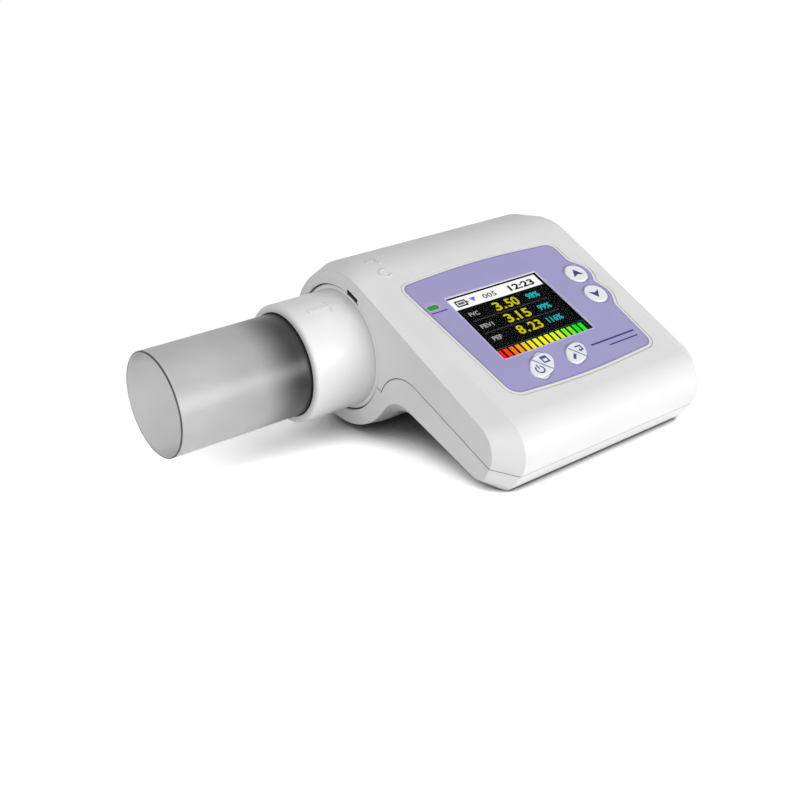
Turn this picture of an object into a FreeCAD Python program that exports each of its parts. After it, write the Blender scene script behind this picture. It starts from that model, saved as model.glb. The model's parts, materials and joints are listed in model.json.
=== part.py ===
import FreeCAD, Part
import math
import os
import re
import Sketcher

# Handheld turbine spirometer. Everything is drawn in the housing's own directions: X runs along the
# airway from the mouthpiece to the outlet, Y along the keypad towards the head, Z square to the keypad,
# and the airway's axis is Y = Z = 0. The left face of the head is X = 0. At the end every piece gets
# one Placement that stands the housing on its head and its nose.

Vector = FreeCAD.Vector
os.makedirs("parts", exist_ok=True)
doc = FreeCAD.newDocument("handheld_spirometer")

SIZES = {
    # housing
    "case_width": 82.0,
    "case_wall": 2.0,
    "bevel_width": 6.3,
    "head_radius": 24.8,
    "nose_reach": 61.7,
    "nose_radius": 10.0,
    "body_depth": 27.8,
    "nose_depth": 21.6,
    "chin_radius": 6.0,
    "chin_draw": 1.0,
    "arch_reach": 31.7,
    "arch_radius": 9.0,
    # how the side faces differ from the full section
    "head_face_loss": 1.5,
    "head_face_rise": 0.7,
    "head_face_draw": 1.4,
    "nose_face_draw": 4.0,
    "nose_face_drop": 1.4,
    "nose_face_loss": 2.0,
    "chin_face_draw": 3.2,
    "chin_face_rise": 0.9,
    "arch_face_reach": 1.8,
    "arch_face_rise": 7.1,
    # seam between the two shells
    "seam_height": 1.0,
    "seam_turn": 33.3,
    "seam_radius": 11.8,
    "seam_gap": 0.24,
    "lip_height": 1.4,
    "lip_gap": 0.1,
    # printed film and display
    "film_depth": 0.35,
    "film_thick": 0.3,
    "film_gap": 0.25,
    "screen_left": 20.6,
    "screen_wide": 35.5,
    "screen_head_side": 15.6,
    "screen_high": 26.9,
    "window_thick": 0.8,
    "window_rim_wide": 3.2,
    "window_rim_high": 1.3,
    "window_gap": 0.1,
    "glass_rim_wide": 1.8,
    "glass_rim_high": 0.5,
    "glass_gap": 0.15,
    "frame_rim_wide": 3.6,
    "frame_rim_high": 0.7,
    "frame_bar": 2.0,
    "flex_wide": 12.0,
    "flex_thick": 0.2,
    "flex_reach": 1.4,
    "glass_thick": 1.0,
    "backlight_thick": 1.5,
    # keys
    "key_gap": 0.2,
    "key_proud": 0.4,
    "key_rim": 0.8,
    "key_rim_thick": 0.8,
    "key_rim_clear": 0.05,
    "key_stem_radius": 1.5,
    "key_stem": 0.6,
    "key_chamfer": 0.25,
    "plunger_radius": 1.2,
    "plunger_length": 1.75,
    "plunger_gap": 0.15,
    "switch_side": 6.0,
    "switch_height": 3.0,
    "switch_well": 1.8,
    # board and what it carries
    "board_depth": 6.8,
    "board_thick": 1.6,
    "board_left": 13.2,
    "board_head_side": 15.6,
    "board_nose_side": 58.0,
    "board_step_side": 36.5,
    "board_step": 11.0,
    "board_inset": 2.4,
    "led_x": 14.8,
    "led_y": 17.4,
    "led_side": 1.6,
    "led_height": 0.8,
    "led_gap": 0.3,
    "pipe_radius": 0.95,
    "pipe_reach": 1.05,
    "port_y": 26.0,
    "port_wide": 7.5,
    "port_high": 2.6,
    "port_deep": 5.5,
    "port_gap": 0.35,
    "port_sheet": 0.3,
    "buzzer_radius": 4.5,
    "buzzer_height": 2.6,
    "buzzer_x": 24.0,
    "buzzer_y": 24.0,
    # screws and bosses
    "boss_radius": 3.2,
    "boss_inset": 9.5,
    "boss_near": 42.0,
    "boss_far": 62.6,
    "screw_radius": 1.1,
    "screw_head_radius": 2.1,
    "screw_head": 1.6,
    "screw_length": 13.0,
    "screw_seat": 5.2,
    "screw_gap": 0.2,
    "post_radius": 2.0,
    "board_screw_radius": 0.8,
    "board_screw_length": 4.2,
    # battery
    "battery_long": 50.0,
    "battery_wide": 33.0,
    "battery_thick": 5.6,
    "battery_near": 24.8,
    "battery_lift": 5.6,
    "pad_thick": 1.0,
    "cradle_thick": 1.3,
    "cradle_gap": 0.3,
    "plug_side": 6.0,
    # turbine and mouthpiece
    "mouth_radius": 15.0,
    "mouth_wall": 0.8,
    "mouth_front": 60.9,
    "cup_gap": 0.06,
    "collar_radius": 17.45,
    "collar_front": 19.8,
    "collar_seat": 4.5,
    "tube_radius": 15.4,
    "tube_wall": 1.5,
    "skirt_radius": 18.9,
    "skirt_recess": 0.4,
    "skirt_back": 4.4,
    "skirt_gap": 0.3,
    "collar_rim": 1.2,
    "mouth_gap": 0.3,
    "lug_height": 1.0,
    "lug_wide": 4.6,
    "lug_thick": 1.8,
    "lock_angle": 30.0,
    "seat_gap": 0.05,
    "sleeve_gap": 0.35,
    "sleeve_wall": 1.45,
    "end_gap": 0.4,
    "outlet_radius": 14.6,
    "outlet_step": 0.2,
    "outlet_space": 0.6,
    "saddle_thick": 2.0,
    "saddle_share": 0.87,
    "saddle_place": 9.0,
    # swirlers and rotor
    "rotor_middle": 34.0,
    "rotor_hub_long": 19.0,
    "vane_long": 16.0,
    "vane_radius": 12.6,
    "vane_thick": 0.5,
    "rotor_hub_radius": 1.6,
    "axle_radius": 0.5,
    "axle_gap": 0.05,
    "axle_long": 24.6,
    "swirler_long": 10.0,
    "swirler_ring": 0.8,
    "swirler_hub": 3.2,
    "swirler_blade": 0.8,
    "swirler_twist": 48.0,
    "swirler_count": 6,
    "bearing_long": 2.5,
    "bearing_radius": 1.6,
    # light barriers
    "barrier_rise": 3.0,
    "eye_radius": 1.5,
    "eye_gap": 0.15,
    "eye_reach": 15.9,
    "sensor_board_near": 18.6,
    "sensor_board_thick": 1.0,
    "sensor_board_long": 14.0,
    "sensor_board_high": 10.0,
}

sheet = doc.addObject("Spreadsheet::Sheet", "sizes")
for row, (alias, value) in enumerate(SIZES.items(), start=1):
    sheet.set(f"A{row}", alias.replace("_", " "))
    sheet.set(f"B{row}", str(value))
    sheet.setAlias(f"B{row}", alias)
doc.recompute()


def cells(text):
    """An expression with each size named as the sheet's own cell"""
    return re.sub(r"[a-z]\w+", r"sizes.\g<0>", text)


def number(text):
    return float(sheet.evalExpression(cells(text)))


# Heights above the airway's axis, and places along it, that several pieces share
TOP = "head_radius"
CEILING = "(head_radius - case_wall)"
FILM_SEAT = "(head_radius - film_depth)"
WINDOW_BACK = f"({FILM_SEAT} - window_thick)"
GLASS_BACK = f"({WINDOW_BACK} - glass_thick)"
BACKLIGHT_BACK = f"({GLASS_BACK} - backlight_thick)"
BOARD_TOP = "(head_radius - board_depth)"
BOARD_BACK = f"({BOARD_TOP} - board_thick)"
KEY_RIM_TOP = f"({CEILING} - key_rim_clear)"
KEY_RIM_BACK = f"({KEY_RIM_TOP} - key_rim_thick)"
KEY_STEM_BACK = f"({KEY_RIM_BACK} - key_stem)"
BOSS_SPLIT = "(seam_height + seam_radius + lip_height + lip_gap)"
TUBE_BORE = "(tube_radius - tube_wall)"
SLEEVE_BORE = "(tube_radius + sleeve_gap)"
SLEEVE_RADIUS = f"({SLEEVE_BORE} + sleeve_wall)"
TUBE_END = "(case_width - case_wall - 2 * end_gap)"
SLEEVE_FRONT = "(skirt_back + 2 * end_gap)"
SADDLE_BACK = f"(saddle_share * {SLEEVE_RADIUS})"
SLEEVE_END = "(case_width - case_wall - end_gap)"
HUB_HALF = "(rotor_hub_long / 2)"
INLET_SWIRLER = f"(rotor_middle - {HUB_HALF} - end_gap - swirler_long)"
OUTLET_SWIRLER = f"(rotor_middle + {HUB_HALF} + end_gap)"
OUTLET_FRONT = f"({OUTLET_SWIRLER} + swirler_long + outlet_space)"
BATTERY_LEFT = "(case_width - battery_long) / 2"

# The four keys: label, place across and along the keypad, and radius. An oval key also has the steps
# from its middle to the middle of one end, and the radius of its two long sides.
KEYS = [
    ("power_key", "29.2", "-48.8", "2.3", "2.8", "1.55", "6.5"),
    ("menu_key", "42.6", "-48.9", "2.1", "2.21", "1.46", "5.69"),
    ("up_key", "68.5", "-21.3", "3.7", "0", "0", "0"),
    ("down_key", "67.8", "-31.0", "3.7", "0", "0", "0"),
]
# The printed film's rounds, anticlockwise: middle across and along, radius, and 1 where it bulges
# outwards or -1 where it bulges inwards. The long sides are bowed, and there are rounded necks beside
# the bulges round the arrow keys.
FILM = [
    ("41.5", "167.0", "223.75", 1),
    ("65.9", "-51.5", "4.25", 1),
    ("72.4", "-37.6", "1.25", -1),
    ("67.8", "-31.0", "6.15", 1),
    ("73.3", "-26.2", "0.6", -1),
    ("68.5", "-21.3", "6.15", 1),
    ("72.6", "-14.7", "1.25", -1),
    ("67.8", "-9.4", "3.75", 1),
    ("41.0", "-264.1", "259.75", 1),
    ("14.2", "-9.4", "3.75", 1),
    ("17.6", "-50.8", "4.75", 1),
]
CASE_SCREWS = [
    (x, y)
    for x in ("boss_inset", "(case_width - boss_inset)")
    for y in ("-boss_near", "-boss_far")
]
# What the board carries underneath: place across and along, length, width and height
CHIPS = [
    ("36", "-36", "9", "9", "1.2"),
    ("50", "-30", "6", "5", "1"),
    ("30", "-50", "12", "7", "1.6"),
]
BOARD_SCREWS = [
    ("(board_left + 2.8)", "-(board_nose_side - 3.5)"),
    ("(case_width - 17.5)", "-(board_nose_side - 3.5)"),
    ("(case_width - 5)", "-19"),
]

pieces = []


def volume_of(body):
    return 0.0 if body.Shape.isNull() else body.Shape.Volume


def new_body(label):
    body = doc.addObject("PartDesign::Body", label)
    body.Label = label
    body.AllowCompound = True
    pieces.append(body)
    return body


def sketch(body, plane, offset="0", turn=0.0):
    """A sketch on one of the body's origin planes, moved along that plane's normal"""
    sk = body.newObject("Sketcher::SketchObject", f"{body.Label}_sketch")
    support = next(item for item in body.Origin.OriginFeatures if item.Role == plane)
    sk.AttachmentSupport = [(support, "")]
    sk.MapMode = "FlatFace"
    sk.AttachmentOffset = FreeCAD.Placement(Vector(0, 0, 0), FreeCAD.Rotation(Vector(0, 0, 1), turn))
    sk.setExpression("AttachmentOffset.Base.z", cells(offset))
    return sk


def constrain(sk, kind, *parts, size=None):
    if size is None:
        sk.addConstraint(Sketcher.Constraint(kind, *parts))
        return
    index = sk.addConstraint(Sketcher.Constraint(kind, *parts, number(size)))
    sk.setExpression(f"Constraints[{index}]", cells(size))


def pin(sk, edge, point, across, up):
    """Hold one point of an edge at a place given by two expressions"""
    for kind, size, axis in (("DistanceX", across, -2), ("DistanceY", up, -1)):
        if size == "0":
            constrain(sk, "PointOnObject", edge, point, axis)
        else:
            constrain(sk, kind, -1, 1, edge, point, size=size)


def circle(sk, across, up, radius):
    centre = Vector(number(across), number(up), 0)
    edge = sk.addGeometry(Part.Circle(centre, Vector(0, 0, 1), number(radius)))
    pin(sk, edge, 3, across, up)
    constrain(sk, "Radius", edge, size=radius)


def polygon(sk, corners):
    """A closed outline of straight lines through corners"""
    points = [Vector(number(across), number(up), 0) for across, up in corners]
    count = len(points)
    lines = [sk.addGeometry(Part.LineSegment(points[i], points[(i + 1) % count])) for i in range(count)]
    for i, line in enumerate(lines):
        constrain(sk, "Coincident", line, 2, lines[(i + 1) % count], 1)
        pin(sk, line, 1, *corners[i])


def rectangle(sk, left, low, right, high):
    polygon(sk, [(left, low), (right, low), (right, high), (left, high)])


def belt(sk, rounds):
    """A closed outline of arcs joined by their common tangents, run round anticlockwise.
    Each round is (across, up, radius, side): side 1 bulges outwards and side -1 bulges inwards."""
    discs = [(number(x), number(y), number(r), side) for x, y, r, side in rounds]
    count = len(discs)
    normals = []
    for i, (x1, y1, r1, s1) in enumerate(discs):
        x2, y2, r2, s2 = discs[(i + 1) % count]
        lean = math.asin((s2 * r2 - s1 * r1) / math.hypot(x2 - x1, y2 - y1))
        normals.append(math.atan2(y2 - y1, x2 - x1) - lean + math.pi / 2)

    def touch(disc, normal):
        x, y, r, side = disc
        return Vector(x - side * r * math.cos(normal), y - side * r * math.sin(normal), 0)

    arcs = []
    for i, disc in enumerate(discs):
        x, y, r, side = disc
        turned = math.pi if side > 0 else 0.0
        begin = normals[i - 1] + turned
        end = normals[i] + turned
        if side < 0:
            begin, end = end, begin
        full = Part.Circle(Vector(x, y, 0), Vector(0, 0, 1), r)
        arcs.append(sk.addGeometry(Part.ArcOfCircle(full, begin, end)))
    lines = [
        sk.addGeometry(Part.LineSegment(touch(discs[i], normals[i]),
                                        touch(discs[(i + 1) % count], normals[i])))
        for i in range(count)
    ]
    for i, (across, up, radius, side) in enumerate(rounds):
        leave, enter = (2, 1) if side > 0 else (1, 2)
        pin(sk, arcs[i], 3, across, up)
        constrain(sk, "Radius", arcs[i], size=radius)
        constrain(sk, "Tangent", arcs[i], leave, lines[i], 1)
        constrain(sk, "Tangent", lines[i - 1], 2, arcs[i], enter)


def key_shape(sk, key, grow):
    """The outline of a round or an oval key, drawn out by grow"""
    _, x, y, radius, reach_x, reach_y, side_radius = key
    if reach_x == "0":
        circle(sk, x, y, f"{radius} + {grow}")
        return
    ends = f"{radius} + {grow}"
    sides = f"{side_radius} + {grow}"
    belt(sk, [
        (f"{x} + {reach_x}", f"{y} + {reach_y}", ends, 1),
        (f"{x} + {reach_y}", f"{y} - {reach_x}", sides, 1),
        (f"{x} - {reach_x}", f"{y} - {reach_y}", ends, 1),
        (f"{x} - {reach_y}", f"{y} + {reach_x}", sides, 1),
    ])


def extrude(body, sk, length, kind="Pad", forward=True):
    """Pad or pocket a sketch; forward is along its plane's normal"""
    before = volume_of(body)
    feature = body.newObject(f"PartDesign::{kind}", f"{kind.lower()}_of_{body.Label}")
    feature.Profile = sk
    feature.setExpression("Length", cells(length))
    feature.Reversed = forward if kind == "Pocket" else not forward
    return settle(body, feature, before, kind == "Pocket")


def settle(body, feature, before, removes):
    """Recompute, and stop if a feature that should add or remove material did neither"""
    body.Tip = feature
    doc.recompute()
    change = feature.Shape.Volume - before
    if (change >= 0) if removes else (change <= 0):
        raise RuntimeError(f"{feature.Label} of {body.Label} changed the volume by {change:.3f}")
    return feature


def revolve(body, corners, kind="Revolution"):
    """Turn an outline of (place along X, radius) corners round the X axis"""
    before = volume_of(body)
    sk = sketch(body, "XY_Plane")
    polygon(sk, corners)
    feature = body.newObject(f"PartDesign::{kind}", f"{body.Label}_turned")
    feature.Profile = sk
    feature.ReferenceAxis = (sk, ["H_Axis"])
    feature.Angle = 360
    return settle(body, feature, before, kind == "Groove")


def box(body, left, near, low, wide, deep, high):
    """A block from its lowest corner and its three sizes"""
    sk = sketch(body, "XY_Plane", low)
    rectangle(sk, left, near, f"({left}) + ({wide})", f"({near}) + ({deep})")
    return extrude(body, sk, high)


def disc(body, across, along, low, radius, high, kind="Pad", forward=True):
    sk = sketch(body, "XY_Plane", low)
    circle(sk, across, along, radius)
    return extrude(body, sk, high, kind, forward)


def break_edges(body, base, kind, size, chosen):
    """Fillet or chamfer the edges that the test picks"""
    names = [f"Edge{i + 1}" for i, edge in enumerate(base.Shape.Edges) if chosen(edge)]
    feature = body.newObject(f"PartDesign::{kind}", f"{body.Label}_{kind.lower()}")
    feature.Base = (base, names)
    feature.setExpression("Radius" if kind == "Fillet" else "Size", cells(size))
    return settle(body, feature, base.Shape.Volume, True)


# The housing's section: the round head, the nose, the chin below it and the finger arch,
# first where the housing is full, then on its flat side faces.
NOSE_Z = "head_radius - nose_radius"
CHIN_Y = "-(nose_reach + nose_radius - chin_radius - chin_draw)"
CHIN_Z = "head_radius - nose_depth + chin_radius"
ARCH_Z = "head_radius - body_depth - arch_radius"


def full_section(inset):
    return [
        ("0", "0", f"head_radius - {inset}", 1),
        ("-nose_reach", NOSE_Z, f"nose_radius - {inset}", 1),
        (CHIN_Y, CHIN_Z, f"chin_radius - {inset}", 1),
        ("-arch_reach", ARCH_Z, f"arch_radius + {inset}", -1),
    ]


def side_section(inset):
    return [
        ("-head_face_draw", "head_face_rise", f"head_radius - head_face_loss - {inset}", 1),
        ("nose_face_draw - nose_reach", f"{NOSE_Z} - nose_face_drop",
         f"nose_radius - nose_face_loss - {inset}", 1),
        (f"{CHIN_Y} + chin_face_draw", f"{CHIN_Z} + chin_face_rise",
         f"chin_radius - nose_face_loss - {inset}", 1),
        ("-arch_reach - arch_face_reach", f"{ARCH_Z} + arch_face_rise", f"arch_radius + {inset}", -1),
    ]


def housing_volume(body, inset, starts, sign):
    """Add or remove the housing's form: bevelled sides and the full section between them.
    inset draws the outline in, and starts is how far the side faces lie in from the housing's own."""
    middle = sketch(body, "YZ_Plane", "bevel_width")
    belt(middle, full_section(inset))
    if sign == "Subtractive":
        tip = extrude(body, middle, "case_width - 2 * bevel_width", "Pocket")
    else:
        tip = extrude(body, middle, "case_width - 2 * bevel_width")
    for side, full in ((starts, "bevel_width"), (f"case_width - ({starts})", "case_width - bevel_width")):
        before = volume_of(body)
        outer = sketch(body, "YZ_Plane", side)
        belt(outer, side_section(inset))
        inner = sketch(body, "YZ_Plane", full)
        belt(inner, full_section(inset))
        loft = body.newObject(f"PartDesign::{sign}Loft", f"{body.Label}_bevel")
        loft.Profile = outer
        loft.Sections = [inner]
        loft.Ruled = True
        tip = settle(body, loft, before, sign == "Subtractive")
    return tip


def seam_outline(sk, offset, upper):
    """What a shell gives up: all that lies past the seam, which runs at the airway's height across
    the head and steps up along an arc to the body. The offset lifts the seam off itself."""
    far = "3 * head_radius"
    height = f"seam_height + ({offset})"
    radius = f"seam_radius + ({offset})"
    end = "-2 * nose_reach"
    limit = f"-{far}" if upper else far
    reach = number(radius)
    start = math.asin(number(offset) / reach)
    turn = Vector(number("-seam_turn"), number("seam_height"), 0)
    step = sk.addGeometry(Part.ArcOfCircle(Part.Circle(turn, Vector(0, 0, 1), reach), start, math.pi / 2))
    corners = [(far, height), (far, limit), (end, limit), (end, f"seam_height + {radius}")]
    places = [Vector(number(across), number(up), 0) for across, up in corners]
    places.insert(0, turn + Vector(reach * math.cos(start), reach * math.sin(start), 0))
    places.append(turn + Vector(0, reach, 0))
    lines = [sk.addGeometry(Part.LineSegment(places[i], places[i + 1])) for i in range(len(places) - 1)]
    pin(sk, step, 3, "-seam_turn", "seam_height")
    constrain(sk, "Radius", step, size=radius)
    constrain(sk, "Coincident", step, 1, lines[0], 1)
    constrain(sk, "Coincident", step, 2, lines[-1], 2)
    for i, corner in enumerate(corners):
        constrain(sk, "Coincident", lines[i], 2, lines[i + 1], 1)
        pin(sk, lines[i], 2, *corner)
    constrain(sk, "Horizontal", lines[0])
    constrain(sk, "DistanceX", -1, 1, step, 2, size="-seam_turn")


def part_at_seam(body, offset, upper):
    """Keep only the upper or the lower side of the seam"""
    sk = sketch(body, "YZ_Plane", "-head_radius")
    seam_outline(sk, offset, upper)
    return extrude(body, sk, "case_width + 2 * head_radius", "Pocket")


def airway_openings(body, side):
    """The round opening that takes the turbine, its bayonet notch, and the outlet on the right"""
    sk = sketch(body, "YZ_Plane", "0")
    circle(sk, "0", "0", "skirt_radius + skirt_gap")
    extrude(body, sk, "case_wall", "Pocket")
    sk = sketch(body, "YZ_Plane", "0")
    notch = "lug_wide / 2 + skirt_gap"
    inner = f"{side} * (skirt_radius - lug_thick)"
    outer = f"{side} * (skirt_radius + lug_height + skirt_gap)"
    low, high = (inner, outer) if side > 0 else (outer, inner)
    rectangle(sk, f"-({notch})", low, notch, high)
    extrude(body, sk, "case_wall", "Pocket")
    sk = sketch(body, "YZ_Plane", "case_width - case_wall")
    circle(sk, "0", "0", "outlet_radius")
    return extrude(body, sk, "case_wall", "Pocket")


def shell(label, side):
    """One hollow shell of the housing, cut at the seam, with its openings; side is 1 above, -1 below"""
    body = new_body(label)
    housing_volume(body, "0", "0", "Additive")
    housing_volume(body, "case_wall", "case_wall", "Subtractive")
    part_at_seam(body, f"{side} * seam_gap / 2", side > 0)
    airway_openings(body, side)
    return body


def saddle(body, place, side):
    """A rib round the turbine's sleeve, open towards the board"""
    sk = sketch(body, "YZ_Plane", place)
    arcs = []
    for radius in ("head_radius - case_wall / 2", f"{SLEEVE_RADIUS} + seat_gap"):
        reach = number(radius)
        turn = math.acos(-number(SADDLE_BACK) / reach)
        round_edge = Part.Circle(Vector(0, 0, 0), Vector(0, 0, 1), reach)
        arc = sk.addGeometry(Part.ArcOfCircle(round_edge, -turn, turn))
        constrain(sk, "Coincident", arc, 3, -1, 1)
        constrain(sk, "Radius", arc, size=radius)
        arcs.append((arc, reach, turn))
    for end, sign in ((2, 1), (1, -1)):
        ends = [Vector(reach * math.cos(turn), sign * reach * math.sin(turn), 0) for _, reach, turn in arcs]
        line = sk.addGeometry(Part.LineSegment(*ends))
        constrain(sk, "Coincident", line, 1, arcs[0][0], end)
        constrain(sk, "Coincident", line, 2, arcs[1][0], end)
        constrain(sk, "Vertical", line)
        constrain(sk, "DistanceX", -1, 1, line, 1, size=f"-{SADDLE_BACK}")
    return extrude(body, sk, "saddle_thick")


def boolean(kind, label, *inputs):
    """A boolean of finished objects, which drop out of the list of pieces"""
    result = doc.addObject(f"Part::{kind}", label)
    result.Label = label
    if kind == "Cut":
        result.Base, result.Tool = inputs
    else:
        result.Shapes = list(inputs)
    for item in inputs:
        if item in pieces:
            pieces.remove(item)
    pieces.append(result)
    doc.recompute()
    return result


def film_outline(grow):
    return [(x, y, f"{radius} + {side} * ({grow})", side) for x, y, radius, side in FILM]


def light_outline(grow):
    """The two ends of the oblong light pipe"""
    return [(f"led_x {sign} pipe_reach", "-led_y", f"pipe_radius + {grow}", 1) for sign in ("+", "-")]


def screen_rectangle(sk, grow_wide, grow_high):
    rectangle(sk, f"screen_left - ({grow_wide})", f"-(screen_head_side + screen_high + {grow_high})",
              f"screen_left + screen_wide + {grow_wide}", f"{grow_high} - screen_head_side")


def upper_case():
    outer = shell("upper_shell", 1)
    sk = sketch(outer, "XY_Plane", TOP)
    belt(sk, film_outline("film_gap"))
    extrude(outer, sk, "film_depth", "Pocket", False)
    sk = sketch(outer, "XY_Plane", FILM_SEAT)
    screen_rectangle(sk, "window_rim_wide + window_gap", "window_rim_high + window_gap")
    extrude(outer, sk, "window_thick", "Pocket", False)
    sk = sketch(outer, "XY_Plane", WINDOW_BACK)
    screen_rectangle(sk, "glass_rim_wide + glass_gap", "glass_rim_high + glass_gap")
    extrude(outer, sk, "case_wall", "Pocket", False)
    for key in KEYS:
        sk = sketch(outer, "XY_Plane", TOP)
        key_shape(sk, key, "key_gap")
        extrude(outer, sk, "2 * case_wall", "Pocket", False)
    sk = sketch(outer, "XY_Plane", TOP)
    belt(sk, light_outline("seat_gap"))
    extrude(outer, sk, "2 * case_wall", "Pocket", False)
    sk = sketch(outer, "YZ_Plane", "case_width - case_wall - port_deep")
    rectangle(sk, "-port_y - port_wide / 2 - port_gap", f"{BOARD_TOP} - port_gap",
              "port_wide / 2 + port_gap - port_y", f"{BOARD_TOP} + port_high + port_gap")
    extrude(outer, sk, "2 * case_wall + port_deep", "Pocket")

    inside = new_body("upper_inside")
    for place in ("saddle_place", "case_width - saddle_place - saddle_thick"):
        saddle(inside, place, 1)
    part_at_seam(inside, "seam_gap / 2", True)
    for x, y in CASE_SCREWS:
        disc(inside, x, y, BOSS_SPLIT, "boss_radius", f"head_radius - {BOSS_SPLIT}")
    for x, y in BOARD_SCREWS:
        disc(inside, x, y, BOARD_TOP, "post_radius", f"head_radius - {BOARD_TOP}")
    for x, y in CASE_SCREWS:
        disc(inside, x, y, BOSS_SPLIT, "screw_radius + seat_gap",
             f"screw_seat + screw_length + 4 * screw_gap - {BOSS_SPLIT}", "Pocket")
    for x, y in BOARD_SCREWS:
        disc(inside, x, y, BOARD_TOP, "board_screw_radius + seat_gap",
             "board_screw_length - board_thick + screw_gap", "Pocket")
    joined = boolean("MultiFuse", "upper_joined", outer,
                     boolean("MultiCommon", "upper_held", inside, housing_core))
    return boolean("Cut", "upper_case", joined, lip_space)


def lower_case():
    outer = shell("lower_shell", -1)
    inside = new_body("lower_inside")
    for place in ("saddle_place", "case_width / 2", "case_width - saddle_place - saddle_thick"):
        saddle(inside, place, -1)
    part_at_seam(inside, "-seam_gap / 2", False)
    for x, y in CASE_SCREWS:
        disc(inside, x, y, "-head_radius", "boss_radius", f"head_radius + {BOSS_SPLIT} - seat_gap")
    depth = "head_radius + battery_lift"
    for x in (f"{BATTERY_LEFT} - cradle_gap - cradle_thick", f"{BATTERY_LEFT} + battery_long + cradle_gap"):
        box(inside, x, "-battery_near - battery_wide + 2 * cradle_thick", "-head_radius", "cradle_thick",
            "battery_wide - 4 * cradle_thick", f"{depth} + battery_thick / 2")
    for share in (0.25, 0.5, 0.75):
        box(inside, f"case_width / 2 + {share - 0.5} * battery_long - cradle_thick / 2",
            "-battery_near - battery_wide + 2 * cradle_thick", "-head_radius", "cradle_thick",
            "battery_wide - 8 * cradle_thick", f"{depth} - pad_thick")
    held = boolean("MultiCommon", "lower_held", inside, housing_core)
    joined = boolean("MultiFuse", "lower_joined", outer, held, seam_lip)
    ways = new_body("screw_ways")
    for x, y in CASE_SCREWS:
        disc(ways, x, y, "-head_radius", "screw_head_radius + screw_gap", "head_radius + screw_seat")
    for x, y in CASE_SCREWS:
        disc(ways, x, y, "-head_radius", "screw_radius + screw_gap", f"head_radius + {BOSS_SPLIT}")
    return boolean("Cut", "lower_case", joined, ways)


# The solid form halfway into the wall, which trims the bosses and ribs to the housing
housing_core = new_body("housing_core")
housing_volume(housing_core, "case_wall / 2", "case_wall / 2", "Additive")

# The lip of the lower shell, which stands inside the upper one, and the room that it needs there
seam_lip = new_body("seam_lip")
housing_volume(seam_lip, "(case_wall / 2 + lip_gap)", "case_wall / 2 + lip_gap", "Additive")
housing_volume(seam_lip, "case_wall", "case_wall", "Subtractive")
part_at_seam(seam_lip, "lip_height", False)
part_at_seam(seam_lip, "-lip_height", True)
airway_openings(seam_lip, -1)

lip_space = new_body("lip_space")
housing_volume(lip_space, "case_wall / 2", "case_wall / 2", "Additive")
part_at_seam(lip_space, "lip_height + lip_gap", False)
part_at_seam(lip_space, "-lip_height", True)

upper_case()
lower_case()


def label_overlay():
    """Printed film on the keypad, with bulges round the two arrow keys and its cut-outs"""
    body = new_body("label_overlay")
    sk = sketch(body, "XY_Plane", FILM_SEAT)
    belt(sk, film_outline("0"))
    extrude(body, sk, "film_thick")
    sk = sketch(body, "XY_Plane", FILM_SEAT)
    screen_rectangle(sk, "0", "0")
    extrude(body, sk, "film_thick", "Pocket")
    for key in KEYS:
        sk = sketch(body, "XY_Plane", FILM_SEAT)
        key_shape(sk, key, "key_gap")
        extrude(body, sk, "film_thick", "Pocket")
    sk = sketch(body, "XY_Plane", FILM_SEAT)
    belt(sk, light_outline("seat_gap"))
    extrude(body, sk, "film_thick", "Pocket")


def screen_plate(label, low, grow_wide, grow_high, thick):
    body = new_body(label)
    sk = sketch(body, "XY_Plane", low)
    screen_rectangle(sk, grow_wide, grow_high)
    extrude(body, sk, thick)
    return body


def display():
    screen_plate("display_window", WINDOW_BACK, "window_rim_wide", "window_rim_high", "window_thick")
    screen_plate("lcd_panel", GLASS_BACK, "glass_rim_wide", "glass_rim_high", "glass_thick")
    screen_plate("lcd_backlight", BACKLIGHT_BACK, "frame_rim_wide", "frame_rim_high", "backlight_thick")
    height = f"{BACKLIGHT_BACK} - {BOARD_TOP}"
    carrier = screen_plate("display_carrier", BOARD_TOP, "frame_rim_wide", "frame_rim_high", height)
    sk = sketch(carrier, "XY_Plane", BOARD_TOP)
    screen_rectangle(sk, "frame_rim_wide - frame_bar", "frame_rim_high - frame_bar")
    extrude(carrier, sk, height, "Pocket")

    flex = new_body("display_flex")
    sk = sketch(flex, "XZ_Plane", "screen_head_side + screen_high / 2")
    edge = "screen_left + screen_wide + frame_rim_wide"
    knee = f"{edge} + flex_reach"
    foot = f"{edge} + 2 * flex_reach"
    low = BOARD_TOP
    high = f"{BACKLIGHT_BACK} + backlight_thick / 2"
    polygon(sk, [
        (edge, high), (f"{knee} - flex_thick", high), (f"{knee} - flex_thick", low), (foot, low),
        (foot, f"{low} + flex_thick"), (knee, f"{low} + flex_thick"), (knee, f"{high} + flex_thick"),
        (edge, f"{high} + flex_thick"),
    ])
    extrude(flex, sk, "flex_wide")


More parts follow.
